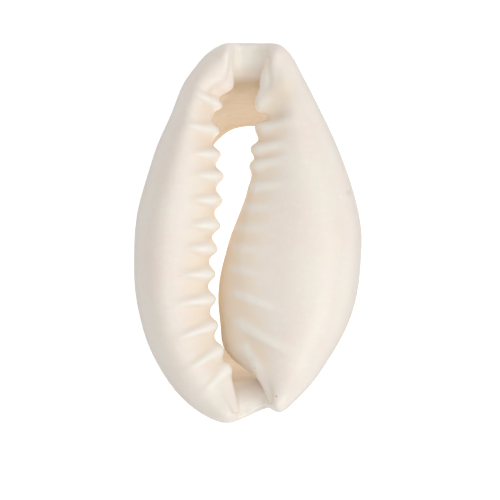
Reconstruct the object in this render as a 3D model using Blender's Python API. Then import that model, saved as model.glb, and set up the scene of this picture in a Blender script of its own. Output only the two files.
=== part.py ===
"""A cowrie shell with its back ground away, the way shells are cut to be threaded on a cord.

Run with: blender --background --factory-startup --python part.py

The shell lies on its ground back with the aperture up. X runs across it, Y runs along it with the siphon
end at +Y, and Z is up. It is one grown piece: a ring of wall round the aperture, narrow and toothed on the
left (the outer lip), broad on the right (the columella side), and notched by a canal at each end. The ring
begins as a torus, and its vertices are laid on closed curves that run through sections of the wall.
Lengths are in millimetres up to the point where the vertices are placed.
"""

import math

import bpy
import numpy as np

MM = 0.001
PIECE = "cowrie_shell"

# Heights above the ground back, at mid length and at the two ends.
CREST_HEIGHT, END_CREST_HEIGHT = 7.3, 6.35
MARGIN_HEIGHT, END_MARGIN_HEIGHT = 4.2, 5.2
EDGE_DROP, END_EDGE_DROP = 1.25, 0.7  # from the crest of the ventral face down to the aperture's edge
HALF_LENGTH = 11.0
HALF_WIDTH = 6.6
VAULT_HEIGHT = 5.2  # the inside of the ventral wall, 2 mm below its crest
ROOM_FOR_VAULT = 2.5  # behind the outer lip; with less room its vault is lower

# The flank, half way down from the margin, as a share of the body outline: sides, siphon end, spire end.
AXIS_POINT = np.array([0.0, -0.5])
FLANK_SHARE = (0.96, 0.905, 0.94)

# Ovals that the wall follows lower down: half width, half length, centre in Y, height. The feet lie below
# the plane that the back is then ground to, so that the grinding leaves a clean rim.
OUTER_FOOT = (5.15, 7.30, -0.80, -1.5)
INNER_FOOT = (3.75, 6.30, -0.47, -1.5)
INNER_WALL = (5.05, 8.20, -0.65, 2.8)
OVAL_TILT = -5.0  # degrees about Z, as the aperture leans

# Distances from mid length where a form begins to fade and where it is gone: siphon end, spire end.
VAULT_FADES = ((6.5, 10.4), (7.5, 9.7))  # the vault closes to the floor of the canal
ROLL_FADES = ((3.0, 8.0), (6.6, 9.6))  # the columella's deep roll rises to a plain lip

# Across the top of a lip: the share of its width from the aperture's edge, and the share of the height, from
# the margin for the shoulder and from the edge for the others. The brow's distance is a length.
SHOULDER, CREST, SLOPE = (0.87, 0.71), 0.60, (0.33, 0.82)
BROW, BROW_OVER_ROLL, BROW_LIMIT = (0.45, 0.47), (0.65, 0.36), 0.25
# Under the outer lip: the share of the way from the edge to the inner wall, and the depth below the edge.
LIP_FACE, LIP_BOTTOM, LIP_BACK, LIP_VAULT = (0.08, 0.75), (0.27, 1.15), (0.50, 1.05), 0.78
# Under the columella side: depths below the edge for a plain lip and for the deep roll, and the distances
# from the roll's reach.
ROLL_FACE, ROLL_BOTTOM, ROLL_BACK, ROLL_VAULT = (0.9, 1.5), (1.6, 3.1), (1.4, 2.1), 0.55
ROLL_THICKNESS, ROLL_BREADTH, BREADTH_LIMIT = 0.8, 1.9, 0.4

# Sections through the lips, in plan: the aperture's edge, the margin, and on the columella side how far the
# roll under the edge reaches into the aperture.
COLUMELLA_RISING = [
    ((-0.68, -1.28), (6.57, -1.34), (-1.26, -1.10)),
    ((-0.45, -0.17), (6.60, -0.10), (-0.97, -0.12)),
    ((-0.12, 1.22), (6.38, 1.40), (-0.42, 1.22)),
    ((0.26, 2.79), (5.96, 2.95), (0.18, 2.79)),
    ((0.46, 3.95), (5.50, 4.25), (0.46, 3.95)),
    ((0.66, 5.05), (4.96, 5.55), (0.66, 5.05)),
    ((0.98, 5.95), (4.38, 6.76), (0.98, 5.95)),
    ((1.10, 6.62), (3.94, 7.64), (1.10, 6.62)),
    ((0.44, 7.32), (3.48, 8.54), (0.48, 7.32)),
    ((0.80, 8.15), (2.98, 9.46), (0.80, 8.15)),
    ((0.92, 9.00), (2.48, 10.32), (0.92, 9.00)),
    ((1.04, 9.85), (1.76, 10.88), (1.04, 9.85)),
]
OUTER_LIP_FALLING = [
    ((-0.86, 9.95), (-1.34, 10.91), None),
    ((-0.80, 8.80), (-2.07, 10.57), None),
    ((-1.02, 8.20), (-2.62, 10.11), None),
    ((-1.74, 7.74), (-3.08, 9.54), None),
    ((-2.02, 6.50), (-3.74, 8.62), None),
    ((-2.06, 5.11), (-4.42, 6.95), None),
    ((-1.90, 3.77), (-5.20, 5.22), None),
    ((-1.88, 2.50), (-5.85, 3.25), None),
    ((-1.98, 1.16), (-6.34, 1.51), None),
    ((-2.14, -0.29), (-6.56, -0.17), None),
    ((-2.30, -1.68), (-6.60, -1.80), None),
    ((-2.35, -3.08), (-6.53, -3.37), None),
    ((-2.24, -4.53), (-6.25, -4.90), None),
    ((-2.02, -5.86), (-5.80, -6.40), None),
    ((-1.62, -7.02), (-5.02, -7.95), None),
    ((-1.13, -7.89), (-4.03, -9.32), None),
    ((-0.80, -8.94), (-2.82, -10.35), None),
    ((-0.55, -10.16), (-1.32, -10.97), None),
]
COLUMELLA_BASE = [
    ((1.18, -9.68), (1.85, -10.35), (1.18, -9.68)),
    ((0.95, -9.10), (2.62, -9.84), (0.62, -9.05)),
    ((0.42, -8.10), (3.66, -8.78), (-0.04, -8.20)),
    ((-0.01, -6.91), (4.56, -7.52), (-1.15, -7.02)),
    ((-0.28, -5.51), (5.42, -6.10), (-1.56, -5.51)),
    ((-0.54, -4.01), (6.06, -4.60), (-1.70, -4.06)),
    ((-0.71, -2.61), (6.43, -2.95), (-1.60, -2.50)),
]
# Sections through the canals, in plan: the rim of the notch, and the body outline that the notch cuts into.
SIPHON_NOTCH = [
    ((0.84, 10.97), (1.05, 11.00)),
    ((0.15, 10.99), (0.15, 11.10)),
    ((-0.62, 10.98), (-0.75, 11.00)),
]
SPIRE_NOTCH = [
    ((-0.34, -10.78), (-0.40, -11.02)),
    ((0.34, -10.40), (0.50, -10.90)),
    ((1.02, -10.09), (1.30, -10.68)),
]
SIPHON_KNEE = (8.2, 5.0)  # Y and Z of the point that pulls the floor of the canal into its bend
SPIRE_KNEE = (-8.5, 5.12)
KNEE_PULL = 2.0  # 1 is an easy bend; more makes a flat floor, a quick bend and a straight wall below it
RIM_ROUNDING = 0.45  # how far the rim of a notch rolls over to its outermost line
# The canal's walls: how far each point below the lip's edge stands back under it, as a share of the way to
# the bowl behind.
UNDERCUT = (0.2, 0.4, 0.6, 0.8, 1.0)
# Where the ten points of a canal's floor lie on its curve: five beside the lips' tops, five inside.
FLOOR_SHARES = (0.02, 0.045, 0.07, 0.1, 0.14, 0.29, 0.45, 0.61, 0.76, 0.89)

# Folds: the tip in plan, the way the ridge runs from it (degrees from +X), the ridge's length, how far the
# tip stands out from the aperture's edge, how high the ridge stands on the face, and its half width.
OUTER_LIP_TEETH = [
    ((-1.42, 7.20), 152, 2.5, 0.48, 0.14, 0.38),
    ((-1.60, 5.80), 168, 2.6, 0.40, 0.15, 0.40),
    ((-1.48, 4.46), 176, 2.1, 0.42, 0.16, 0.41),
    ((-1.36, 3.22), 176, 2.1, 0.44, 0.16, 0.41),
    ((-1.45, 1.86), 179, 2.1, 0.42, 0.16, 0.41),
    ((-1.58, 0.44), 180, 2.0, 0.42, 0.16, 0.42),
    ((-1.75, -0.90), 180, 2.1, 0.42, 0.16, 0.42),
    ((-1.83, -2.35), 182, 2.3, 0.42, 0.16, 0.42),
    ((-1.80, -3.77), 188, 2.8, 0.42, 0.16, 0.42),
    ((-1.68, -5.22), 200, 3.2, 0.36, 0.16, 0.41),
    ((-1.40, -6.59), 212, 3.3, 0.33, 0.16, 0.41),
    ((-1.10, -7.75), 225, 2.8, 0.25, 0.14, 0.40),
]
COLUMELLA_TEETH = [
    ((0.44, 7.30), 70, 3.2, 0.0, 0.20, 0.52),
    ((0.28, 5.86), 16, 2.9, 0.56, 0.18, 0.38),
    ((0.15, 4.73), 12, 2.5, 0.34, 0.15, 0.34),
    ((0.13, 3.80), 12, 2.5, 0.24, 0.13, 0.33),
    ((0.10, 2.60), 6, 2.6, 0.04, 0.09, 0.34),
    ((-0.08, 1.46), 1, 1.8, 0.0, 0.06, 0.30),
    ((-0.32, 0.30), 0, 1.8, 0.0, 0.06, 0.30),
    ((-0.42, -0.87), -3, 1.8, 0.0, 0.06, 0.30),
    ((-0.50, -2.11), -11, 2.0, 0.0, 0.07, 0.30),
    ((-0.42, -3.56), -21, 2.9, 0.0, 0.13, 0.34),
    ((-0.28, -5.31), -30, 3.8, 0.0, 0.15, 0.38),
    ((-0.04, -6.82), -56, 2.0, 0.0, 0.13, 0.36),
]
FOSSA = ((1.45, 6.90), 66, 2.8, 0.0, -0.13, 0.62)  # the groove beside the first columella fold
GRIP_DEPTH = 1.1  # how far below the aperture's edge a tooth dies out
TIP_LENGTH = 0.6  # behind the aperture's edge, where a fold turns from a tip into a ridge
TIP_FADE = 0.9  # a fold dies out over this distance in front of its tip
RIDGE_FADE = 0.55  # the share of a ridge's length over which it dies out
ROUNDNESS = 2.5  # the power that rounds a fold: 2 is a bell, more is a flatter top with steeper sides

KNOT_POWER = 0.5  # knots spaced by the root of the distance keep a curve from swinging wide at a step
RING_SEGMENTS = 168  # round the aperture
BAND_SEGMENTS = (2, 3, 3, 2, 3, 3, 3, 3, 2, 2, 2, 1, 1, 2)  # from each line of a section to the next
MERGED = 1.0e-7  # metres: nearer than this counts as lying on the ground plane
BLOCK_SIZE = 40.0  # the grinding block
SHARP_ANGLE = 50.0  # degrees


def between(start, end, share):
    return start + (end - start) * share


def height_along(y, mid_height, end_height):
    return between(mid_height, end_height, min(abs(y) / HALF_LENGTH, 1.0) ** 3)


def crest_and_edge(y):
    """Heights of the ventral face's crest and of the aperture's edge."""
    crest_z = height_along(y, CREST_HEIGHT, END_CREST_HEIGHT)
    return crest_z, crest_z - height_along(y, EDGE_DROP, END_EDGE_DROP)


def fading(y, reaches):
    """1 at mid length, falling to 0 between the two distances given for the nearer end."""
    full, gone = reaches[0] if y > 0 else reaches[1]
    return min(max((gone - abs(y)) / (gone - full), 0.0), 1.0)


def flank_under(outline, height):
    """The point of the flank under this point of the body outline."""
    side, siphon, spire = FLANK_SHARE
    share = height_along(outline[1], side, siphon if outline[1] > 0 else spire)
    return np.append(between(AXIS_POINT, outline, share), height)


def on_oval(outline, oval):
    """The point of an oval that lies inwards from this point of the body outline."""
    half_width, half_length, centre, height = oval
    turn = math.atan2((outline[1] - centre) / HALF_LENGTH, outline[0] / HALF_WIDTH)
    x, y = half_width * math.cos(turn), half_length * math.sin(turn)
    tilt = math.radians(OVAL_TILT)
    return np.array([
        x * math.cos(tilt) - y * math.sin(tilt),
        x * math.sin(tilt) + y * math.cos(tilt) + centre,
        height,
    ])


def canal_floor(rim, inner_foot):
    """Ten points down the curve from the rim of a notch, round its knee, to the inner foot."""
    knee = SIPHON_KNEE if rim[1] > 0 else SPIRE_KNEE
    bend = np.array([between(rim[0], inner_foot[0], 0.4), *knee])
    floor = []
    for share in FLOOR_SHARES:
        near, pull, far = (1 - share) ** 2, 2 * KNEE_PULL * share * (1 - share), share**2
        floor.append((near * rim + pull * bend + far * inner_foot) / (near + pull + far))
    return floor


def outer_wall(rim, outline):
    """The margin, the outer foot and the flank between them."""
    margin = np.append(rim, height_along(rim[1], MARGIN_HEIGHT, END_MARGIN_HEIGHT))
    return margin, on_oval(outline, OUTER_FOOT), flank_under(outline, 0.5 * margin[2])


def canal_section(rim, outline):
    """The 14 points of a section through a notch."""
    margin, outer_foot, flank = outer_wall(np.array(rim), np.array(outline))
    inner_foot = on_oval(outline, INNER_FOOT)
    floor = canal_floor(margin, inner_foot)
    margin[2] -= RIM_ROUNDING
    return [margin, *floor, inner_foot, outer_foot, flank]


def lip_section(edge, rim, roll):
    """The 14 points of a section through a lip: margin, over the ventral face, back inside, feet, flank."""
    edge, rim = np.array(edge), np.array(rim)
    margin, outer_foot, flank = outer_wall(rim, rim)
    width = np.linalg.norm(rim - edge)
    outward = (rim - edge) / width
    crest_z, edge_z = crest_and_edge(rim[1])

    def over(distance, height):
        return np.append(edge + outward * distance, height)

    shoulder = over(SHOULDER[0] * width, between(margin[2], crest_z, SHOULDER[1]))
    crest = over(CREST * width, crest_z)
    slope = over(SLOPE[0] * width, between(edge_z, crest_z, SLOPE[1]))
    # Above the columella's deep roll the brow is broader and lower, so that the face rounds down into it.
    depth = 0.0 if roll is None else fading(rim[1], ROLL_FADES)
    brow_distance = between(min(BROW[0], BROW_LIMIT * width), BROW_OVER_ROLL[0], depth)
    brow = over(brow_distance, between(edge_z, crest_z, between(BROW[1], BROW_OVER_ROLL[1], depth)))
    inner_foot = on_oval(rim, INNER_FOOT)
    wall = on_oval(rim, INNER_WALL)
    if roll is None:
        room = wall[:2] - edge
        face = over(LIP_FACE[0], edge_z - LIP_FACE[1])
        bottom = np.append(edge + LIP_BOTTOM[0] * room, edge_z - LIP_BOTTOM[1])
        back = np.append(edge + LIP_BACK[0] * room, edge_z - LIP_BACK[1])
        rise = min(np.linalg.norm(room) / ROOM_FOR_VAULT, 1.0)
        vault = np.append(edge + LIP_VAULT * room, between(back[2], VAULT_HEIGHT, rise))
    else:
        reach = np.array(roll)
        breadth = min(ROLL_BREADTH, BREADTH_LIMIT * width)
        face = np.append(reach, edge_z - between(*ROLL_FACE, depth))
        bottom = np.append(reach + outward * ROLL_THICKNESS, edge_z - between(*ROLL_BOTTOM, depth))
        back = np.append(reach + outward * breadth, edge_z - between(*ROLL_BACK, depth))
        vault = np.append(between(back[:2], wall[:2], ROLL_VAULT), VAULT_HEIGHT)
    opened = (face, bottom, back, vault, wall)
    closed = canal_floor(margin, inner_foot)[-5:]
    for point, share in zip(closed, UNDERCUT):
        point[0] = between(edge[0], point[0], share)
    openness = fading(rim[1], VAULT_FADES)
    inside = [between(low, high, openness) for low, high in zip(closed, opened)]
    top = [margin, shoulder, crest, slope, brow, over(0.0, edge_z)]
    return [*top, *inside, inner_foot, outer_foot, flank]


def sections():
    """All sections, counter-clockwise from the middle of the right side."""
    found = [lip_section(*station) for station in COLUMELLA_RISING]
    found += [canal_section(*station) for station in SIPHON_NOTCH]
    found += [lip_section(*station) for station in OUTER_LIP_FALLING]
    found += [canal_section(*station) for station in SPIRE_NOTCH]
    found += [lip_section(*station) for station in COLUMELLA_BASE]
    return np.array(found)


def distances_along(rows, power=1.0):
    """Mean distance from each row of points to the next, to this power and added up, round to the first."""
    steps = np.linalg.norm(np.roll(rows, -1, axis=0) - rows, axis=-1).mean(axis=1)
    return np.concatenate([[0.0], np.cumsum(steps**power)])


def closed_spline(rows, knots, places):
    """A closed cubic with continuous bending through the rows, read at these places along the knots."""
    count = len(rows)
    step = np.diff(knots)
    before = np.roll(step, 1)
    system = np.zeros((count, count))
    for i in range(count):
        system[i, i] = 2 * (before[i] + step[i])
        system[i, i - 1] = before[i]
        system[i, (i + 1) % count] = step[i]
    flat = rows.reshape(count, -1)
    slope = (np.roll(flat, -1, axis=0) - flat) / step[:, None]
    bend = np.linalg.solve(system, slope - np.roll(slope, 1, axis=0))
    i = np.clip(np.searchsorted(knots, places, side="right") - 1, 0, count - 1)
    j = (i + 1) % count
    width = step[i][:, None]
    ahead = (np.asarray(places) - knots[i])[:, None] / width
    behind = 1 - ahead
    curve = (behind**3 - behind) * bend[i] + (ahead**3 - ahead) * bend[j]
    values = behind * flat[i] + ahead * flat[j] + curve * width**2
    return values.reshape(len(values), *rows.shape[1:])


def shell_points():
    """The smooth shell: a row of points for each segment of the ring, one point for each band."""
    stations = sections()
    lines = stations.transpose(1, 0, 2)
    knots = distances_along(lines, KNOT_POWER)
    places = []
    for i, parts in enumerate(BAND_SEGMENTS):
        places.extend(np.linspace(knots[i], knots[i + 1], parts, endpoint=False))
    rows = closed_spline(lines, knots, places).transpose(1, 0, 2)
    # The segments are spread evenly along the aperture's edge, where the teeth are.
    edge_distances = distances_along(stations[:, 4:6])
    even = np.linspace(0, edge_distances[-1], RING_SEGMENTS, endpoint=False)
    knots = distances_along(stations, KNOT_POWER)
    return closed_spline(rows, knots, np.interp(even, edge_distances, knots))


def normals_of(points):
    along_ring = np.roll(points, -1, axis=0) - np.roll(points, 1, axis=0)
    along_band = np.roll(points, -1, axis=1) - np.roll(points, 1, axis=1)
    normals = np.cross(along_ring, along_band)
    return normals / np.linalg.norm(normals, axis=2, keepdims=True)


def fold_rise(place, inward, fold):
    """How far one fold raises this place, before it dies out with depth."""
    tip, angle, length, reach, height, half_width = fold
    way = np.array([math.cos(math.radians(angle)), math.sin(math.radians(angle))])
    away = place[:2] - np.array(tip)
    along = away @ way
    across = away[0] * way[1] - away[1] * way[0]
    if not -TIP_FADE < along < length:
        return 0.0
    fade = min(1.0, (length - along) / (RIDGE_FADE * length), (along + TIP_FADE) / (0.6 * TIP_FADE))
    tip_share = inward * math.exp(-((max(along - reach, 0.0) / TIP_LENGTH) ** 2))
    return between(height, reach, tip_share) * math.exp(-(abs(across / half_width) ** ROUNDNESS)) * fade


def surface_rise(place, normal, on_outer_lip):
    """How far the folds of this side raise the surface at a place with this normal."""
    edge_z = crest_and_edge(place[1])[1]
    level = min(max((place[2] - edge_z + GRIP_DEPTH) / 0.6, 0.0), 1.0)
    if level == 0.0:
        return 0.0
    teeth = OUTER_LIP_TEETH if on_outer_lip else COLUMELLA_TEETH
    inward = max(0.0, normal[0] if on_outer_lip else -normal[0])
    rise = max(fold_rise(place, inward, fold) for fold in teeth)
    if not on_outer_lip:
        rise += fold_rise(place, inward, FOSSA)
    return rise * level


def with_folds(points):
    normals = normals_of(points)
    folded = points.copy()
    for i, j in np.ndindex(points.shape[:2]):
        on_outer_lip = points[i, 0, 0] < 0.0
        folded[i, j] += normals[i, j] * surface_rise(points[i, j], normals[i, j], on_outer_lip)
    return folded


def new_collection(name):
    collection = bpy.data.collections.new(name)
    bpy.context.scene.collection.children.link(collection)
    return collection


def move_to(piece, collection):
    for old in list(piece.users_collection):
        old.objects.unlink(piece)
    collection.objects.link(piece)


def shell_material():
    material = bpy.data.materials.new("polished_shell")
    material.use_nodes = True
    shader = material.node_tree.nodes["Principled BSDF"]
    shader.inputs["Base Color"].default_value = (0.85, 0.79, 0.71, 1.0)
    shader.inputs["Roughness"].default_value = 0.35
    return material


def make_shell(collection):
    points = with_folds(shell_points())
    bpy.ops.mesh.primitive_torus_add(
        major_segments=RING_SEGMENTS,
        minor_segments=sum(BAND_SEGMENTS),
        major_radius=6.0 * MM,
        minor_radius=3.0 * MM,
        generate_uvs=False,
    )
    shell = bpy.context.object
    shell.name = PIECE
    shell.data.name = PIECE
    shell.data.vertices.foreach_set("co", (points * MM).ravel())
    shell.data.update()
    shell.data.shade_smooth()
    shell.data.materials.append(shell_material())
    move_to(shell, collection)
    return shell


def grind_back(shell, collection):
    """Cut the shell flat at Z = 0 with the top face of a block below it."""
    size = BLOCK_SIZE * MM
    bpy.ops.mesh.primitive_cube_add(size=size, location=(0.0, 0.0, -0.5 * size))
    block = bpy.context.object
    block.name = "grinding_block"
    block.display_type = "WIRE"
    block.hide_render = True
    move_to(block, collection)
    cut = shell.modifiers.new("ground_back", "BOOLEAN")
    cut.operation = "DIFFERENCE"
    cut.solver = "EXACT"
    cut.object = block
    bpy.ops.object.select_all(action="DESELECT")
    bpy.context.view_layer.objects.active = shell
    shell.select_set(True)
    bpy.ops.object.modifier_apply(modifier=cut.name)
    shell.data.set_sharp_from_angle(angle=math.radians(SHARP_ANGLE))
    for face in shell.data.polygons:
        if face.center.z < MERGED:
            face.use_smooth = False


def main():
    for leftover in list(bpy.data.objects):
        bpy.data.objects.remove(leftover)
    shell = make_shell(new_collection("Cut cowrie shell"))
    grind_back(shell, new_collection("Cutters"))


main()
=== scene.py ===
"""The looks of a cut cowrie shell: its fine surface, its enamel and the studio round it.

The shell lies on its ground back with the aperture up, the siphon end at +Y and the outer lip at -X. It grew
as one piece, so one fine mesh stands for the one solid. A flat grid is rolled into the ring of wall round the
aperture: its rows lie on closed curves through sections of the wall, its seam is merged, and it is then cut
flat at Z = 0, as a grinding wheel leaves it. What the eye looks for on it, such as the ridges, the hollows
between them and the tan inside, is kept on the mesh as attributes, which the enamel's colours read.
Lengths are in millimetres up to the point where the mesh's vertices are placed.
"""

import math

import bpy
import mathutils
import numpy as np
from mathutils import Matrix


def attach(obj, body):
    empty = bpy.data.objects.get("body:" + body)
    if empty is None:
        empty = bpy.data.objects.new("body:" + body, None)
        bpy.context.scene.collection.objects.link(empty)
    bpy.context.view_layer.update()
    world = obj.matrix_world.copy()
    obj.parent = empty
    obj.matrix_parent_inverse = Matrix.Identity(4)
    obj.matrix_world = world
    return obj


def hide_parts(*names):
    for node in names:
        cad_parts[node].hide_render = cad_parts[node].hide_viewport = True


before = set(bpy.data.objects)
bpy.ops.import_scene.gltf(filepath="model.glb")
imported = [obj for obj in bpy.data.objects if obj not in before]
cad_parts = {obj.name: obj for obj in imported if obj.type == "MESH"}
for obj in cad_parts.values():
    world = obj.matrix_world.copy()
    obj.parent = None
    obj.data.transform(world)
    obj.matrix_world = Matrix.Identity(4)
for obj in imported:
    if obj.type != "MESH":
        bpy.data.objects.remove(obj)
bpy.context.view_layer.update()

MM = 0.001

# Heights above the ground back, at mid length and at the two ends.
CREST_HEIGHT, END_CREST_HEIGHT = 7.3, 6.35
MARGIN_HEIGHT, END_MARGIN_HEIGHT = 4.2, 5.2
EDGE_DROP, END_EDGE_DROP = 1.25, 0.7  # from the crest of the ventral face down to the aperture's edge
HALF_LENGTH = 11.0
HALF_WIDTH = 6.6
VAULT_HEIGHT = 5.2  # the inside of the ventral wall, 2 mm below its crest
ROOM_FOR_VAULT = 2.5  # behind the outer lip; with less room its vault is lower

# The flank, half way down from the margin, as a share of the body outline: sides, siphon end, spire end.
AXIS_POINT = np.array([0.0, -0.5])
FLANK_SHARE = (0.96, 0.905, 0.94)

# Ovals that the wall follows lower down: half width, half length, centre in Y, height. The feet lie below
# the plane that the back is then ground to, so that the grinding leaves a clean rim.
OUTER_FOOT = (5.15, 7.30, -0.80, -1.5)
INNER_FOOT = (3.75, 6.30, -0.47, -1.5)
INNER_WALL = (5.05, 8.20, -0.65, 2.8)
OVAL_TILT = -5.0  # degrees about Z, as the aperture leans

# Distances from mid length where a form begins to fade and where it is gone: siphon end, spire end.
VAULT_FADES = ((6.5, 10.4), (7.5, 9.7))  # the vault closes to the floor of the canal
ROLL_FADES = ((3.0, 8.0), (6.6, 9.6))  # the columella's deep roll rises to a plain lip

# Across the top of a lip: the share of its width from the aperture's edge, and the share of the height, from
# the margin for the shoulder and from the edge for the others. The brow's distance is in millimetres.
SHOULDER, CREST, SLOPE = (0.87, 0.71), 0.60, (0.33, 0.82)
BROW, BROW_OVER_ROLL, BROW_LIMIT = (0.45, 0.47), (0.65, 0.36), 0.25
# Under the outer lip: the share of the way from the edge to the inner wall, and the depth below the edge. For
# the face it is a distance from the edge.
LIP_FACE, LIP_BOTTOM, LIP_BACK, LIP_VAULT = (0.08, 0.75), (0.27, 1.15), (0.50, 1.05), 0.78
# Under the columella side: depths below the edge for a plain lip and for the deep roll, and the distances
# from the roll's reach.
ROLL_FACE, ROLL_BOTTOM, ROLL_BACK, ROLL_VAULT = (0.9, 1.5), (1.6, 3.1), (1.4, 2.1), 0.55
ROLL_THICKNESS, ROLL_BREADTH, BREADTH_LIMIT = 0.8, 1.9, 0.4

# Sections through the lips, in plan: the aperture's edge, the margin, and on the columella side how far the
# roll under the edge reaches into the aperture.
COLUMELLA_RISING = [
    ((-0.68, -1.28), (6.57, -1.34), (-1.26, -1.10)),
    ((-0.45, -0.17), (6.60, -0.10), (-0.97, -0.12)),
    ((-0.12, 1.22), (6.38, 1.40), (-0.42, 1.22)),
    ((0.26, 2.79), (5.96, 2.95), (0.18, 2.79)),
    ((0.46, 3.95), (5.50, 4.25), (0.46, 3.95)),
    ((0.66, 5.05), (4.96, 5.55), (0.66, 5.05)),
    ((0.98, 5.95), (4.38, 6.76), (0.98, 5.95)),
    ((1.10, 6.62), (3.94, 7.64), (1.10, 6.62)),
    ((0.44, 7.32), (3.48, 8.54), (0.48, 7.32)),
    ((0.80, 8.15), (2.98, 9.46), (0.80, 8.15)),
    ((0.92, 9.00), (2.48, 10.32), (0.92, 9.00)),
    ((1.04, 9.85), (1.76, 10.88), (1.04, 9.85)),
]
OUTER_LIP_FALLING = [
    ((-0.86, 9.95), (-1.34, 10.91), None),
    ((-0.80, 8.80), (-2.07, 10.57), None),
    ((-1.02, 8.20), (-2.62, 10.11), None),
    ((-1.74, 7.74), (-3.08, 9.54), None),
    ((-2.02, 6.50), (-3.74, 8.62), None),
    ((-2.06, 5.11), (-4.42, 6.95), None),
    ((-1.90, 3.77), (-5.20, 5.22), None),
    ((-1.88, 2.50), (-5.85, 3.25), None),
    ((-1.98, 1.16), (-6.34, 1.51), None),
    ((-2.14, -0.29), (-6.56, -0.17), None),
    ((-2.30, -1.68), (-6.60, -1.80), None),
    ((-2.35, -3.08), (-6.53, -3.37), None),
    ((-2.24, -4.53), (-6.25, -4.90), None),
    ((-2.02, -5.86), (-5.80, -6.40), None),
    ((-1.62, -7.02), (-5.02, -7.95), None),
    ((-1.13, -7.89), (-4.03, -9.32), None),
    ((-0.80, -8.94), (-2.82, -10.35), None),
    ((-0.55, -10.16), (-1.32, -10.97), None),
]
COLUMELLA_BASE = [
    ((1.18, -9.68), (1.85, -10.35), (1.18, -9.68)),
    ((0.95, -9.10), (2.62, -9.84), (0.62, -9.05)),
    ((0.42, -8.10), (3.66, -8.78), (-0.04, -8.20)),
    ((-0.01, -6.91), (4.56, -7.52), (-1.15, -7.02)),
    ((-0.28, -5.51), (5.42, -6.10), (-1.56, -5.51)),
    ((-0.54, -4.01), (6.06, -4.60), (-1.70, -4.06)),
    ((-0.71, -2.61), (6.43, -2.95), (-1.60, -2.50)),
]
# Sections through the canals, in plan: the rim of the notch, and the body outline that the notch cuts into.
SIPHON_NOTCH = [
    ((0.84, 10.97), (1.05, 11.00)),
    ((0.15, 10.99), (0.15, 11.10)),
    ((-0.62, 10.98), (-0.75, 11.00)),
]
SPIRE_NOTCH = [
    ((-0.34, -10.78), (-0.40, -11.02)),
    ((0.34, -10.40), (0.50, -10.90)),
    ((1.02, -10.09), (1.30, -10.68)),
]
SIPHON_KNEE = (8.2, 5.0)  # Y and Z of the point that pulls the floor of the canal into its bend
SPIRE_KNEE = (-8.5, 5.12)
KNEE_PULL = 2.0  # 1 is an easy bend; more makes a flat floor, a quick bend and a straight wall below it
RIM_ROUNDING = 0.45  # how far the rim of a notch rolls over to its outermost line
# The canal's walls: how far each point below the lip's edge stands back under it, as a share of the way to
# the bowl behind.
UNDERCUT = (0.2, 0.4, 0.6, 0.8, 1.0)
# Where the ten points of a canal's floor lie on its curve: five beside the lips' tops, five inside.
FLOOR_SHARES = (0.02, 0.045, 0.07, 0.1, 0.14, 0.29, 0.45, 0.61, 0.76, 0.89)

# Folds: the tip in plan, the way the ridge runs from it (degrees from +X), the ridge's length, how far the
# tip stands out from the aperture's edge, how high the ridge stands on the face, and its half width.
OUTER_LIP_TEETH = [
    ((-1.42, 7.20), 152, 2.5, 0.48, 0.14, 0.38),
    ((-1.60, 5.80), 168, 2.6, 0.40, 0.15, 0.40),
    ((-1.48, 4.46), 176, 2.1, 0.42, 0.16, 0.41),
    ((-1.36, 3.22), 176, 2.1, 0.44, 0.16, 0.41),
    ((-1.45, 1.86), 179, 2.1, 0.42, 0.16, 0.41),
    ((-1.58, 0.44), 180, 2.0, 0.42, 0.16, 0.42),
    ((-1.75, -0.90), 180, 2.1, 0.42, 0.16, 0.42),
    ((-1.83, -2.35), 182, 2.3, 0.42, 0.16, 0.42),
    ((-1.80, -3.77), 188, 2.8, 0.42, 0.16, 0.42),
    ((-1.68, -5.22), 200, 3.2, 0.36, 0.16, 0.41),
    ((-1.40, -6.59), 212, 3.3, 0.33, 0.16, 0.41),
    ((-1.10, -7.75), 225, 2.8, 0.25, 0.14, 0.40),
]
COLUMELLA_TEETH = [
    ((0.44, 7.30), 70, 3.2, 0.0, 0.20, 0.52),
    ((0.28, 5.86), 16, 2.9, 0.56, 0.18, 0.38),
    ((0.15, 4.73), 12, 2.5, 0.34, 0.15, 0.34),
    ((0.13, 3.80), 12, 2.5, 0.24, 0.13, 0.33),
    ((0.10, 2.60), 6, 2.6, 0.04, 0.09, 0.34),
    ((-0.08, 1.46), 1, 1.8, 0.0, 0.06, 0.30),
    ((-0.32, 0.30), 0, 1.8, 0.0, 0.06, 0.30),
    ((-0.42, -0.87), -3, 1.8, 0.0, 0.06, 0.30),
    ((-0.50, -2.11), -11, 2.0, 0.0, 0.07, 0.30),
    ((-0.42, -3.56), -21, 2.9, 0.0, 0.13, 0.34),
    ((-0.28, -5.31), -30, 3.8, 0.0, 0.15, 0.38),
    ((-0.04, -6.82), -56, 2.0, 0.0, 0.13, 0.36),
]
FOSSA = ((1.45, 6.90), 66, 2.8, 0.0, -0.13, 0.62)  # the groove beside the first columella fold
GRIP_DEPTH = 1.1  # how far below the aperture's edge a tooth dies out
TIP_LENGTH = 0.6  # behind the aperture's edge, where a fold turns from a tip into a ridge
TIP_FADE = 0.9  # a fold dies out over this distance in front of its tip
RIDGE_FADE = 0.55  # the share of a ridge's length over which it dies out
ROUNDNESS = 2.5  # the power that rounds a fold: 2 is a bell, more is a flatter top with steeper sides

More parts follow.
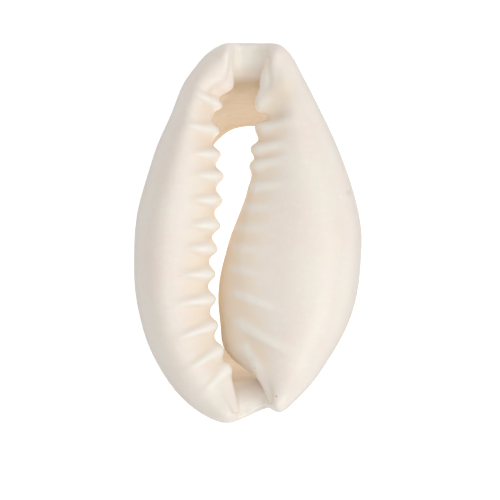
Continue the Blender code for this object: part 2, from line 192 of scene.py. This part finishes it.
KNOT_POWER = 0.5  # knots spaced by the root of the distance keep a curve from swinging wide at a step
ROWS = 560  # round the aperture, about 0.06 mm apart along its edge
BANDS = (7, 9, 12, 8, 10, 12, 12, 10, 8, 8, 8, 5, 4, 9)  # from each line of a section to the next
EDGE_LINE = 5  # the line of a section that runs along the aperture's edge
EDGE_COLUMN = sum(BANDS[:EDGE_LINE])
LIP_NARROWING = 0.42  # a tooth's ridge is this share narrower than its tip, on the outer lip
COLUMELLA_NARROWING = 0.15
NARROWING_LENGTH = 0.9
TIP_FULL = 0.3  # in front of its tip, a fold is at full height up to this share of TIP_FADE
GRIP_EASE = 0.6  # the depth over which a tooth dies out
GRID_SIZE = 10.0  # before it is rolled up
TOUCHING = 1.0e-6  # metres: nearer than this counts as the same place
RIM_CUTS = 6  # strips across the ground rim
SHARP_ANGLE = 40.0  # degrees

# Where the enamel's colours begin and end. A stretch is a pair of distances from mid length, and a place on a
# section counts its lines from the margin at 0 to the flank at 13, where 5 is the aperture's edge.
FAINT_RIDGE, FAINT_CENTRE, FAINT_STRETCH = 0.45, -0.6, (1.5, 3.5)  # the columella's middle folds
ROLL_BEGINS = (4.9, 5.3)
# The canals' floors are whitened partly as their own pale enamel and partly by painted light that lifts the
# shade of their pit.
FLOOR_DEPTH, FLOOR_STRETCH = (0.1, 0.5), (9.0, 10.0)  # the canals' floors, below the lips' edges
FLOOR_STARTS, FLOOR_ENDS = (0.3, 0.8), (6.5, 5.5)
LIP_TEETH_END, COLUMELLA_TEETH_END = (8.8, 7.6), (8.4, 7.0)
HOLLOW_REACH = (1.9, 0.4)  # millimetres from the aperture's edge
TAN_AT_SIPHON, TAN_AT_SPIRE, TAN_ON_COLUMELLA, TAN_EASE = 5.8, 7.0, 5.3, 0.8
TAN_ENDS = (12.6, 12.0)
SPIRE_STRETCH, CANALS_BEGIN = (-7.5, -9.0), (8.6, 7.4)
# FLANK_BEGINS, FLANK_ENDS and ENDS_STRETCH bound the painted shade that greys the sides of the shell.
FLANK_BEGINS, FLANK_ENDS, ENDS_STRETCH = (12.6, 13.6), (1.0, 0.0), (10.8, 9.8)

# Colours of the enamel.
IVORY = "#f2ece3"
ROSY_IVORY = "#f3e7df"
PALE_IVORY = "#f6f2ea"
# Painted shade: the grey given to the flanks where they turn away from the light.
PAINTED_SHADE_IVORY = "#ddd4cb"
# Whitens the folds' crests, their own colour, and the canals' floors, where it is partly painted light.
WHITE_ENAMEL_AND_FLOOR_LIGHT = "#f6f2ea"
PEACH = "#f1e2cf"
TAN = "#dbc9ae"
PALE_TAN = "#e2d2ba"
CHALK = "#ece5da"
CHALK_LAYER = "#e4d9cb"
SPECK = "#8a7460"
# Small specks and pits: X, Y, radius, depth of colour. Each is full up to a share of its radius.
SPECKS = [
    (1.64, -9.40, 0.06, 0.7),
    (0.42, -7.78, 0.06, 0.3),
    (-3.87, -2.50, 0.06, 0.2),
    (5.82, 2.32, 0.22, 0.12),
]
SPECK_CORE = 0.4
SPECK_HEIGHT = (4.0, 4.6)  # they begin between these heights, so none shows inside

# Sizes of the enamel's patterns, in millimetres. Real grain is finer, and is drawn as coarse as it shows.
CLOUD_SIZE, FLECK_SIZE, LAYER_SIZE, GRAIN_SIZE, RIPPLE_SIZE = 2.6, 0.35, 0.9, 0.12, 0.8
GRAIN_DEPTH, RIPPLE_DEPTH = 0.01, 0.03
SATIN, GROUND_ROUGHNESS = (0.40, 0.50), 0.62  # roughness of the enamel, and of the ground rim
ARAGONITE_IOR = 1.53
LIGHT_DEPTH = 0.6  # millimetres that light spreads inside the enamel

# The studio, in metres where it is large and in millimetres beside the shell.
TABLE_SIZE = 3.0
TABLE_DROP = 0.02  # millimetres under the shell, so that the rim and the sheet don't share a plane
TABLE_GREY = 0.5
# The brighter oval is painted light on the sheet: it hides the shade that the shell's hollow would leave
# under the aperture.
TABLE_GLOW, BRIGHT_GLOW = 0.75, 1.05  # all over, and in an oval under the aperture
BRIGHT_OVAL = (4.4, 6.8)  # its half width and half length
BRIGHT_EDGE = (0.95, 1.1)  # where it dims, as shares of them
ROOM_COLOUR, ROOM_LIGHT = "#fffdfa", 0.61
OVERHEAD_PLACE, OVERHEAD_SIZE, OVERHEAD_LIGHT = (0.05, 0.0, 0.62), 0.45, 0.15
KEY_PLACE, KEY_SIZE, KEY_LIGHT = (0.42, -0.16, 0.42), 0.28, 0.29
LAMP_PLACE, LAMP_WIDTH, LAMP_LENGTH = (-0.3, -0.4, -0.1), 7.0, 12.0
UNDER_COLOUR, UNDER_LIGHT = "#fff8f0", 1.6
CAMERA_LENS, SENSOR_WIDTH = 300.0, 36.0
VIEW_WIDTH, VIEW_HEIGHT = 0.02902, 0.0042  # metres across the view, at the height of the margin
CAMERA_HEIGHT = VIEW_HEIGHT + VIEW_WIDTH * CAMERA_LENS / SENSOR_WIDTH
CAMERA_CENTRE = (0.13, -0.99)
CLIP_START = 0.01


# ---- The form, by sections ----


def between(start, end, share):
    return start + (end - start) * share


def height_along(y, mid_height, end_height):
    return between(mid_height, end_height, np.minimum(np.abs(y) / HALF_LENGTH, 1.0) ** 3)


def crest_and_edge(y):
    """Heights of the ventral face's crest and of the aperture's edge."""
    crest_z = height_along(y, CREST_HEIGHT, END_CREST_HEIGHT)
    return crest_z, crest_z - height_along(y, EDGE_DROP, END_EDGE_DROP)


def fading(y, reaches):
    """1 at mid length, falling to 0 between the two distances given for the nearer end."""
    full, gone = reaches[0] if y > 0 else reaches[1]
    return min(max((gone - abs(y)) / (gone - full), 0.0), 1.0)


def flank_under(outline, height):
    """The point of the flank under this point of the body outline."""
    side, siphon, spire = FLANK_SHARE
    share = height_along(outline[1], side, siphon if outline[1] > 0 else spire)
    return np.append(between(AXIS_POINT, outline, share), height)


def on_oval(outline, oval):
    """The point of an oval that lies inwards from this point of the body outline."""
    half_width, half_length, centre, height = oval
    turn = math.atan2((outline[1] - centre) / HALF_LENGTH, outline[0] / HALF_WIDTH)
    x, y = half_width * math.cos(turn), half_length * math.sin(turn)
    tilt = math.radians(OVAL_TILT)
    return np.array([
        x * math.cos(tilt) - y * math.sin(tilt),
        x * math.sin(tilt) + y * math.cos(tilt) + centre,
        height,
    ])


def canal_floor(rim, inner_foot):
    """Ten points down the curve from the rim of a notch, round its knee, to the inner foot."""
    knee = SIPHON_KNEE if rim[1] > 0 else SPIRE_KNEE
    bend = np.array([between(rim[0], inner_foot[0], 0.4), *knee])
    floor = []
    for share in FLOOR_SHARES:
        near, pull, far = (1 - share) ** 2, 2 * KNEE_PULL * share * (1 - share), share**2
        floor.append((near * rim + pull * bend + far * inner_foot) / (near + pull + far))
    return floor


def outer_wall(rim, outline):
    """The margin, the outer foot and the flank between them."""
    margin = np.append(rim, height_along(rim[1], MARGIN_HEIGHT, END_MARGIN_HEIGHT))
    return margin, on_oval(outline, OUTER_FOOT), flank_under(outline, 0.5 * margin[2])


def canal_section(rim, outline):
    """The 14 points of a section through a notch."""
    margin, outer_foot, flank = outer_wall(np.array(rim), np.array(outline))
    inner_foot = on_oval(outline, INNER_FOOT)
    floor = canal_floor(margin, inner_foot)
    margin[2] -= RIM_ROUNDING
    return [margin, *floor, inner_foot, outer_foot, flank]


def lip_section(edge, rim, roll):
    """The 14 points of a section through a lip: margin, over the ventral face, back inside, feet, flank."""
    edge, rim = np.array(edge), np.array(rim)
    margin, outer_foot, flank = outer_wall(rim, rim)
    width = np.linalg.norm(rim - edge)
    outward = (rim - edge) / width
    crest_z, edge_z = crest_and_edge(rim[1])

    def over(distance, height):
        return np.append(edge + outward * distance, height)

    shoulder = over(SHOULDER[0] * width, between(margin[2], crest_z, SHOULDER[1]))
    crest = over(CREST * width, crest_z)
    slope = over(SLOPE[0] * width, between(edge_z, crest_z, SLOPE[1]))
    # Above the columella's deep roll the brow is broader and lower, so that the face rounds down into it.
    depth = 0.0 if roll is None else fading(rim[1], ROLL_FADES)
    brow_distance = between(min(BROW[0], BROW_LIMIT * width), BROW_OVER_ROLL[0], depth)
    brow = over(brow_distance, between(edge_z, crest_z, between(BROW[1], BROW_OVER_ROLL[1], depth)))
    inner_foot = on_oval(rim, INNER_FOOT)
    wall = on_oval(rim, INNER_WALL)
    if roll is None:
        room = wall[:2] - edge
        face = over(LIP_FACE[0], edge_z - LIP_FACE[1])
        bottom = np.append(edge + LIP_BOTTOM[0] * room, edge_z - LIP_BOTTOM[1])
        back = np.append(edge + LIP_BACK[0] * room, edge_z - LIP_BACK[1])
        rise = min(np.linalg.norm(room) / ROOM_FOR_VAULT, 1.0)
        vault = np.append(edge + LIP_VAULT * room, between(back[2], VAULT_HEIGHT, rise))
    else:
        reach = np.array(roll)
        breadth = min(ROLL_BREADTH, BREADTH_LIMIT * width)
        face = np.append(reach, edge_z - between(*ROLL_FACE, depth))
        bottom = np.append(reach + outward * ROLL_THICKNESS, edge_z - between(*ROLL_BOTTOM, depth))
        back = np.append(reach + outward * breadth, edge_z - between(*ROLL_BACK, depth))
        vault = np.append(between(back[:2], wall[:2], ROLL_VAULT), VAULT_HEIGHT)
    opened = (face, bottom, back, vault, wall)
    closed = canal_floor(margin, inner_foot)[-5:]
    for point, share in zip(closed, UNDERCUT):
        point[0] = between(edge[0], point[0], share)
    openness = fading(rim[1], VAULT_FADES)
    inside = [between(low, high, openness) for low, high in zip(closed, opened)]
    top = [margin, shoulder, crest, slope, brow, over(0.0, edge_z)]
    return [*top, *inside, inner_foot, outer_foot, flank]


def sections():
    """All sections, counter-clockwise from the middle of the right side."""
    found = [lip_section(*station) for station in COLUMELLA_RISING]
    found += [canal_section(*station) for station in SIPHON_NOTCH]
    found += [lip_section(*station) for station in OUTER_LIP_FALLING]
    found += [canal_section(*station) for station in SPIRE_NOTCH]
    found += [lip_section(*station) for station in COLUMELLA_BASE]
    return np.array(found)


def distances_along(rows, power=1.0):
    """Mean distance from each row of points to the next, to this power and added up, round to the first."""
    steps = np.linalg.norm(np.roll(rows, -1, axis=0) - rows, axis=-1).mean(axis=1)
    return np.concatenate([[0.0], np.cumsum(steps**power)])


def closed_spline(rows, knots, places):
    """A closed cubic with continuous bending through the rows, read at these places along the knots."""
    count = len(rows)
    step = np.diff(knots)
    before = np.roll(step, 1)
    system = np.zeros((count, count))
    for i in range(count):
        system[i, i] = 2 * (before[i] + step[i])
        system[i, i - 1] = before[i]
        system[i, (i + 1) % count] = step[i]
    flat = rows.reshape(count, -1)
    slope = (np.roll(flat, -1, axis=0) - flat) / step[:, None]
    bend = np.linalg.solve(system, slope - np.roll(slope, 1, axis=0))
    i = np.clip(np.searchsorted(knots, places, side="right") - 1, 0, count - 1)
    j = (i + 1) % count
    width = step[i][:, None]
    ahead = (np.asarray(places) - knots[i])[:, None] / width
    behind = 1 - ahead
    curve = (behind**3 - behind) * bend[i] + (ahead**3 - ahead) * bend[j]
    values = behind * flat[i] + ahead * flat[j] + curve * width**2
    return values.reshape(len(values), *rows.shape[1:])


def surface_rows():
    """The smooth shell as rows of points round the ring, and each column's place along a section."""
    stations = sections()
    lines = stations.transpose(1, 0, 2)
    knots = distances_along(lines, KNOT_POWER)
    places = []
    columns = []
    for i, parts in enumerate(BANDS):
        places.extend(np.linspace(knots[i], knots[i + 1], parts, endpoint=False))
        columns.extend(np.linspace(i, i + 1, parts, endpoint=False))
    rows = closed_spline(lines, knots, places).transpose(1, 0, 2)
    # The rows are spread evenly along the aperture's edge, where the teeth are.
    edge_distances = distances_along(stations[:, EDGE_LINE - 1 : EDGE_LINE + 1])
    even = np.linspace(0, edge_distances[-1], ROWS, endpoint=False)
    knots = distances_along(stations, KNOT_POWER)
    return closed_spline(rows, knots, np.interp(even, edge_distances, knots)), np.array(columns)


def normals_of(points):
    along_ring = np.roll(points, -1, axis=0) - np.roll(points, 1, axis=0)
    along_band = np.roll(points, -1, axis=1) - np.roll(points, 1, axis=1)
    normals = np.cross(along_ring, along_band)
    return normals / np.linalg.norm(normals, axis=2, keepdims=True)


def smooth_step(low, high, value):
    """0 at low and 1 at high, eased at both; low may be the greater one."""
    share = np.clip((value - low) / (high - low), 0.0, 1.0)
    return share * share * (3.0 - 2.0 * share)


# ---- The folds, and what the enamel's colours need to know ----


def fold_on(points, inward, fold, narrowing=0.0):
    """How far one fold raises each point, and how much the point belongs to the fold's crest."""
    tip, angle, length, reach, height, half_width = fold
    way = np.array([math.cos(math.radians(angle)), math.sin(math.radians(angle))])
    away = points[..., :2] - np.array(tip)
    along = away @ way
    across = away[..., 0] * way[1] - away[..., 1] * way[0]
    behind = np.clip(along - reach, 0.0, None)
    width = half_width * (1.0 - narrowing * smooth_step(0.0, NARROWING_LENGTH, behind))
    fade = smooth_step(length, (1.0 - RIDGE_FADE) * length, along)
    fade = fade * smooth_step(-TIP_FADE, -TIP_FULL * TIP_FADE, along)
    crest = np.exp(-(np.abs(across / width) ** ROUNDNESS)) * fade
    tip_share = inward * np.exp(-((behind / TIP_LENGTH) ** 2))
    return between(height, reach, tip_share) * crest, crest


def folds_on(points):
    """How far all folds raise each point, and the crests and the groove that the colours follow."""
    normals = normals_of(points)
    outer_lip = points[:, :1, 0] < 0.0
    rise = np.zeros(points.shape[:2])
    ridge = np.zeros(points.shape[:2])
    sides = (
        (1, outer_lip, OUTER_LIP_TEETH, LIP_NARROWING),
        (-1, ~outer_lip, COLUMELLA_TEETH, COLUMELLA_NARROWING),
    )
    for facing, side, teeth, narrowing in sides:
        inward = np.clip(facing * normals[..., 0], 0.0, None)
        for tooth in teeth:
            raised, crest = fold_on(points, inward, tooth, narrowing)
            rise = np.where(side, np.maximum(rise, raised), rise)
            ridge = np.where(side, np.maximum(ridge, crest), ridge)
    sunk, groove = fold_on(points, np.zeros(rise.shape), FOSSA)
    return np.where(outer_lip, rise, rise + sunk), ridge, np.where(outer_lip, 0.0, groove)


def white_crests_and_floor_light(points, columns, ridge, below_edge):
    """1 on the folds' crests, where the enamel is thickest and whitest, and on the floors of the canals,
    whose whitening is partly the enamel's own pale colour and partly painted light that lifts the shade of
    their pit.
    """
    y = points[..., 1]
    outer_lip = points[:, :1, 0] < 0.0
    plain = between(FAINT_RIDGE, 1.0, smooth_step(*FAINT_STRETCH, np.abs(y - FAINT_CENTRE)))
    plain = plain * (1.0 - smooth_step(*ROLL_BEGINS, columns))
    crests = ridge * np.where(outer_lip, 1.0, plain)
    # Partly painted light: the canals' floors are whitened where they lie in shade below the lips.
    floor = smooth_step(*FLOOR_DEPTH, below_edge) * smooth_step(*FLOOR_STRETCH, np.abs(y))
    floor = floor * smooth_step(*FLOOR_STARTS, columns) * smooth_step(*FLOOR_ENDS, columns)
    return np.maximum(crests, floor)


def hollows(points, ridge, groove):
    """1 between the folds, close to the aperture's edge, and in the groove of the columella."""
    y = np.abs(points[..., 1])
    outer_lip = points[:, :1, 0] < 0.0
    edge = points[:, EDGE_COLUMN][:, None]
    from_edge = np.linalg.norm(points[..., :2] - edge[..., :2], axis=2)
    toothed = np.where(outer_lip, smooth_step(*LIP_TEETH_END, y), smooth_step(*COLUMELLA_TEETH_END, y))
    return np.maximum(smooth_step(*HOLLOW_REACH, from_edge) * (1.0 - ridge) * toothed, groove)


def tan_parts(points, columns):
    """1 inside. The tan begins at the columella's edge, and further in beside the canals and the teeth."""
    y = points[..., 1]
    outer_lip = points[:, :1, 0] < 0.0
    beside_canal = between(TAN_AT_SIPHON, TAN_AT_SPIRE, smooth_step(*SPIRE_STRETCH, y))
    middle = np.where(outer_lip, 0.0, smooth_step(*CANALS_BEGIN, np.abs(y)))
    begins = between(beside_canal, TAN_ON_COLUMELLA, middle)
    return smooth_step(begins, begins + TAN_EASE, columns) * smooth_step(*TAN_ENDS, columns)


def painted_flank_shade(points, columns):
    """1 on the sides of the shell, 0 on its face, inside it and at its two ends: where painted shade greys
    the sides as they turn away from the light.
    """
    sides = np.maximum(smooth_step(*FLANK_BEGINS, columns), smooth_step(*FLANK_ENDS, columns))
    return sides * smooth_step(*ENDS_STRETCH, np.abs(points[..., 1]))


def carved(points, columns):
    """The points with the folds raised on them, and the shares of each colour."""
    rise, ridge, groove = folds_on(points)
    below_edge = crest_and_edge(points[..., 1])[1] - points[..., 2]
    level = np.clip((GRIP_DEPTH - below_edge) / GRIP_EASE, 0.0, 1.0)
    shares = {
        # The ridge share also holds the canals' floors, whose whitening is partly painted light.
        "ridge": white_crests_and_floor_light(points, columns, ridge * level, below_edge),
        "hollow": hollows(points, ridge, groove) * level,
        "inside": tan_parts(points, columns),
        # The flank share carries the painted shade on the sides.
        "flank": painted_flank_shade(points, columns),
    }
    return points + normals_of(points) * (rise * level)[..., None], shares


# ---- The mesh ----


def only_active(piece):
    bpy.ops.object.select_all(action="DESELECT")
    piece.select_set(True)
    bpy.context.view_layer.objects.active = piece


def closed_grid(points):
    """The rows and columns with the first of each repeated at the end, flat, as a grid's vertices lie."""
    wrapped = np.concatenate([points, points[:1]], axis=0)
    wrapped = np.concatenate([wrapped, wrapped[:, :1]], axis=1)
    return wrapped.reshape(-1, *points.shape[2:])


def roll_grid(points, shares):
    """A flat grid rolled into the shell's ring, with its seam merged and its faces turned outwards."""
    rows, columns = points.shape[:2]
    bpy.ops.object.select_all(action="DESELECT")
    bpy.ops.mesh.primitive_grid_add(x_subdivisions=columns, y_subdivisions=rows, size=GRID_SIZE * MM)
    shell = bpy.context.object
    shell.name = "shell_enamel"
    shell.data.name = shell.name
    shell.data.vertices.foreach_set("co", (closed_grid(points) * MM).ravel())
    for name, share in shares.items():
        attribute = shell.data.attributes.new(name, "FLOAT", "POINT")
        attribute.data.foreach_set("value", closed_grid(share).astype(np.float32))
    bpy.ops.object.mode_set(mode="EDIT")
    bpy.ops.mesh.select_all(action="SELECT")
    bpy.ops.mesh.remove_doubles(threshold=TOUCHING)
    bpy.ops.mesh.normals_make_consistent(inside=False)
    bpy.ops.object.mode_set(mode="OBJECT")
    return shell


def grind_back(shell):
    """Cuts the feet off at Z = 0 and closes the wall there with a flat rim, as a grinding wheel does."""
    only_active(shell)
    bpy.ops.object.mode_set(mode="EDIT")
    bpy.ops.mesh.select_mode(type="EDGE")
    bpy.ops.mesh.select_all(action="SELECT")
    bpy.ops.mesh.bisect(plane_co=(0, 0, 0), plane_no=(0, 0, 1), clear_inner=True, threshold=TOUCHING)
    bpy.ops.mesh.select_all(action="DESELECT")
    bpy.ops.mesh.select_non_manifold()
    bpy.ops.mesh.bridge_edge_loops(number_cuts=RIM_CUTS, interpolation="LINEAR")
    bpy.ops.object.mode_set(mode="OBJECT")


def mark_rim(shell):
    """Marks the faces of the ground rim, so that they get the colour of cut shell."""
    mesh = shell.data
    ground = mesh.attributes.new("ground", "FLOAT", "FACE")
    flat = [1.0 if face.center.z < TOUCHING else 0.0 for face in mesh.polygons]
    ground.data.foreach_set("value", flat)


def make_shell():
    points, columns = surface_rows()
    shell = roll_grid(*carved(points, columns))
    grind_back(shell)
    mark_rim(shell)
    only_active(shell)
    bpy.ops.object.shade_smooth_by_angle(angle=math.radians(SHARP_ANGLE))
    return shell


# ---- The enamel ----


def colour(code):
    """An sRGB hex colour as linear red, green, blue and alpha."""
    channels = [int(code[i : i + 2], 16) / 255 for i in (1, 3, 5)]
    return (*[c / 12.92 if c <= 0.04045 else ((c + 0.055) / 1.055) ** 2.4 for c in channels], 1.0)


def per_millimetre(size):
    """The texture scale that gives features of this size in millimetres, on coordinates in metres."""
    return 1.0 / (size * MM)


def add_node(tree, kind, sockets=None, **settings):
    """Adds a node with these settings, and gives its sockets, by name or number, a value or a link."""
    node = tree.nodes.new(kind)
    for name, value in settings.items():
        setattr(node, name, value)
    for socket, value in (sockets or {}).items():
        if isinstance(value, bpy.types.NodeSocket):
            tree.links.new(value, node.inputs[socket])
        else:
            node.inputs[socket].default_value = value
    return node


def tinted(tree, base, tints):
    """A colour with tints laid over it in turn, each by its own share."""
    for tint, share in tints:
        base = add_node(tree, "ShaderNodeMix", {0: share, 6: base, 7: tint}, data_type="RGBA").outputs[2]
    return base


def specks(tree, place):
    """The shares of the small specks and pits, one for each, on the upper face only."""
    height = add_node(tree, "ShaderNodeSeparateXYZ", {0: place}).outputs[2]
    low, high = SPECK_HEIGHT
    limits = {"Value": height, "From Min": low * MM, "From Max": high * MM}
    above = add_node(tree, "ShaderNodeMapRange", limits).outputs[0]
    in_plan = add_node(tree, "ShaderNodeVectorMath", {0: place, 1: (1, 1, 0)}, operation="MULTIPLY")
    shares = []
    for x, y, radius, depth in SPECKS:
        centre = {0: in_plan.outputs[0], 1: (x * MM, y * MM, 0)}
        near = add_node(tree, "ShaderNodeVectorMath", centre, operation="DISTANCE").outputs["Value"]
        limits = {"Value": near, "From Min": SPECK_CORE * radius * MM, "From Max": radius * MM}
        spot = add_node(tree, "ShaderNodeMapRange", {**limits, "To Min": depth, "To Max": 0.0}).outputs[0]
        shares.append(add_node(tree, "ShaderNodeMath", {0: spot, 1: above}, operation="MULTIPLY").outputs[0])
    return shares


def enamel_tints(tree, place, marks, clouds, flecks, layers):
    """The tints of the enamel over plain ivory, from the mantle's slow clouds to the specks on its face."""
    cloudy = add_node(tree, "ShaderNodeMapRange", {"Value": clouds, "From Min": 0.35, "From Max": 0.7})
    paler = {"Value": flecks, "From Min": 0.5, "From Max": 0.75, "To Max": 0.5}
    flecked = add_node(tree, "ShaderNodeMapRange", paler)
    # The peach of the hollows comes and goes with the clouds.
    uneven = {"Value": clouds, "From Min": 0.2, "From Max": 0.8, "To Min": 0.7, "To Max": 1.3}
    strength = add_node(tree, "ShaderNodeMapRange", uneven).outputs[0]
    peachy = add_node(tree, "ShaderNodeMath", {0: marks["hollow"], 1: strength}, operation="MULTIPLY")
    peachy = add_node(tree, "ShaderNodeMapRange", {"Value": peachy.outputs[0], "To Max": 0.9})
    # White on the folds' crests is the enamel's own; on the canals' floors it is partly painted light.
    crest_white_and_floor_light = {"Value": marks["ridge"], "From Min": 0.35, "From Max": 0.95, "To Max": 0.8}
    white = add_node(tree, "ShaderNodeMapRange", crest_white_and_floor_light)
    banded = add_node(tree, "ShaderNodeMapRange", {"Value": layers, "From Min": 0.35, "From Max": 0.7})
    ground_bands = add_node(tree, "ShaderNodeMapRange", {"Value": layers, "From Min": 0.3, "From Max": 0.7})
    tan = tinted(tree, colour(TAN), [(colour(PALE_TAN), banded.outputs[0])])
    chalk = tinted(tree, colour(CHALK), [(colour(CHALK_LAYER), ground_bands.outputs[0])])
    tints = [
        (colour(ROSY_IVORY), cloudy.outputs[0]),
        (colour(PALE_IVORY), flecked.outputs[0]),
        # Painted shade on the flanks.
        (colour(PAINTED_SHADE_IVORY), marks["flank"]),
        (colour(PEACH), peachy.outputs[0]),
        # The folds' white, and partly painted light on the canals' floors.
        (colour(WHITE_ENAMEL_AND_FLOOR_LIGHT), white.outputs[0]),
        (tan, marks["inside"]),
        (chalk, marks["ground"]),
    ]
    return tints + [(colour(SPECK), share) for share in specks(tree, place)]


def cowrie_enamel():
    """Aragonite enamel laid down by the mantle: a satin cream that is whiter on the folds, peach in the
    hollows between them and tan where the canal walls are thin, with a chalky face where it was ground. Its
    grey on the flanks is painted shade, and the white on the canals' floors is partly painted light."""
    material = bpy.data.materials.new("cowrie_enamel")
    material.use_nodes = True
    tree = material.node_tree
    shader = tree.nodes["Principled BSDF"]
    place = add_node(tree, "ShaderNodeTexCoord").outputs["Object"]
    marks = {}
    for name in ("ridge", "hollow", "inside", "flank", "ground"):
        marks[name] = add_node(tree, "ShaderNodeAttribute", attribute_name=name).outputs["Fac"]
    # The growth layers lie nearly flat, so they are drawn thinner in Z, and the ripples run across.
    flat_place = add_node(tree, "ShaderNodeMapping", {"Vector": place, "Scale": (1, 1, 3.5)}).outputs[0]
    cross_place = add_node(tree, "ShaderNodeMapping", {"Vector": place, "Scale": (0.35, 1.6, 1)}).outputs[0]
    patterns = []
    for vector, size, detail, roughness in (
        (place, CLOUD_SIZE, 3.0, 0.5),
        (place, FLECK_SIZE, 4.0, 0.6),
        (flat_place, LAYER_SIZE, 3.0, 0.5),
        (place, GRAIN_SIZE, 2.0, 0.5),
        (cross_place, RIPPLE_SIZE, 2.0, 0.5),
    ):
        sockets = {"Vector": vector, "Scale": per_millimetre(size), "Detail": detail, "Roughness": roughness}
        patterns.append(add_node(tree, "ShaderNodeTexNoise", sockets).outputs[0])
    clouds, flecks, layers, grain, ripples = patterns

    tints = enamel_tints(tree, place, marks, clouds, flecks, layers)
    tree.links.new(tinted(tree, colour(IVORY), tints), shader.inputs["Base Color"])

    low, high = SATIN
    satin = {"Value": flecks, "From Min": 0.3, "From Max": 0.7, "To Min": low, "To Max": high}
    satin = add_node(tree, "ShaderNodeMapRange", satin).outputs[0]
    dull = add_node(tree, "ShaderNodeMix", {0: marks["ground"], 2: satin, 3: GROUND_ROUGHNESS}).outputs[0]
    tree.links.new(dull, shader.inputs["Roughness"])
    fine = {"Height": grain, "Strength": 0.25, "Distance": GRAIN_DEPTH * MM}
    fine = add_node(tree, "ShaderNodeBump", fine).outputs[0]
    broad = {"Height": ripples, "Normal": fine, "Strength": 0.5, "Distance": RIPPLE_DEPTH * MM}
    broad = add_node(tree, "ShaderNodeBump", broad).outputs[0]
    tree.links.new(broad, shader.inputs["Normal"])
    # Light goes a little way into the enamel, red furthest, and a thin hard skin on it gives the soft shine.
    shader.inputs["IOR"].default_value = ARAGONITE_IOR
    shader.inputs["Subsurface Weight"].default_value = 0.35
    shader.inputs["Subsurface Radius"].default_value = (1.0, 0.82, 0.65)
    shader.inputs["Subsurface Scale"].default_value = LIGHT_DEPTH * MM
    shader.inputs["Coat Weight"].default_value = 0.08
    shader.inputs["Coat Roughness"].default_value = 0.25
    return material


# ---- The studio ----


def white_acrylic_sheet():
    """Opal acrylic, moulded smooth and lit from below, so that it reads as plain white; in an oval under the
    aperture its glow is brighter, painted light that hides the shade of the shell's hollow.
    """
    material = bpy.data.materials.new("white_acrylic_sheet")
    material.use_nodes = True
    tree = material.node_tree
    shader = tree.nodes["Principled BSDF"]
    place = add_node(tree, "ShaderNodeTexCoord").outputs["Object"]
    half_width, half_length = BRIGHT_OVAL
    stretch = (1 / (half_width * MM), 1 / (half_length * MM), 0)
    oval = add_node(tree, "ShaderNodeVectorMath", {0: place, 1: stretch}, operation="MULTIPLY").outputs[0]
    away = add_node(tree, "ShaderNodeVectorMath", {0: oval}, operation="LENGTH").outputs["Value"]
    inner, outer = BRIGHT_EDGE
    # Painted light: the glow is brighter inside the oval under the aperture.
    glow = {"Value": away, "From Min": inner, "From Max": outer, "To Min": BRIGHT_GLOW, "To Max": TABLE_GLOW}
    tree.links.new(add_node(tree, "ShaderNodeMapRange", glow).outputs[0], shader.inputs["Emission Strength"])
    shader.inputs["Emission Color"].default_value = (1, 1, 1, 1)
    shader.inputs["Base Color"].default_value = (TABLE_GREY, TABLE_GREY, TABLE_GREY, 1)
    shader.inputs["Roughness"].default_value = 1.0
    shader.inputs["Specular IOR Level"].default_value = 0.0
    return material


def light_table():
    """A white acrylic sheet lit from below, with a brighter oval of painted light under the aperture that
    keeps it white where the shell's hollow would shade it.
    """
    bpy.ops.object.select_all(action="DESELECT")
    bpy.ops.mesh.primitive_plane_add(size=TABLE_SIZE, location=(0, 0, -TABLE_DROP * MM))
    table = bpy.context.object
    table.name = "light_table"
    table.data.materials.append(white_acrylic_sheet())
    # The sheet is seen, shadowed and mirrored in the enamel, but the soft room lights the shell.
    table.visible_diffuse = False
    table.visible_transmission = False
    table.visible_shadow = False


def soft_panel(name, place, size, brightness):
    """A square soft light that faces the shell and gives it this brightness on a face turned to it."""
    distance = math.dist(place, (0, 0, 0))
    bpy.ops.object.light_add(type="AREA", location=place)
    lamp = bpy.context.object
    lamp.name = name
    lamp.data.size = size
    lamp.data.energy = math.pi**2 * brightness * distance**2
    toward = -mathutils.Vector(place)
    lamp.rotation_euler = toward.to_track_quat("-Z", "Y").to_euler()


def soft_room():
    world = bpy.data.worlds.new("soft_room")
    world.use_nodes = True
    background = world.node_tree.nodes["Background"]
    background.inputs["Color"].default_value = colour(ROOM_COLOUR)
    background.inputs["Strength"].default_value = ROOM_LIGHT
    bpy.context.scene.world = world
    soft_panel("overhead_softbox", OVERHEAD_PLACE, OVERHEAD_SIZE, OVERHEAD_LIGHT)
    soft_panel("right_softbox", KEY_PLACE, KEY_SIZE, KEY_LIGHT)


def lamp_under_aperture():
    """A small oval lamp in the sheet, right under the aperture, which lights the shell's hollow."""
    x, y, z = LAMP_PLACE
    bpy.ops.object.light_add(type="AREA", location=(x * MM, y * MM, z * MM), rotation=(math.pi, 0, 0))
    lamp = bpy.context.object
    lamp.name = "lamp_under_aperture"
    lamp.data.shape = "ELLIPSE"
    lamp.data.size = LAMP_WIDTH * MM
    lamp.data.size_y = LAMP_LENGTH * MM
    area = math.pi / 4 * lamp.data.size * lamp.data.size_y
    lamp.data.energy = math.pi * UNDER_LIGHT * area
    lamp.data.color = colour(UNDER_COLOUR)[:3]


def camera_above():
    """Looks straight down from far off with a long lens, with the siphon end up in the picture."""
    x, y = CAMERA_CENTRE
    bpy.ops.object.camera_add(location=(x * MM, y * MM, CAMERA_HEIGHT), rotation=(0, 0, 0))
    camera = bpy.context.object
    camera.name = "camera_above"
    camera.data.lens = CAMERA_LENS
    camera.data.sensor_width = SENSOR_WIDTH
    camera.data.clip_start = CLIP_START
    bpy.context.scene.camera = camera
    bpy.context.scene.view_settings.view_transform = "Standard"


def main():
    shell = make_shell()
    shell.data.materials.append(cowrie_enamel())
    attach(shell, "root")
    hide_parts("cowrie_shell")
    light_table()
    soft_room()
    lamp_under_aperture()
    camera_above()


main()
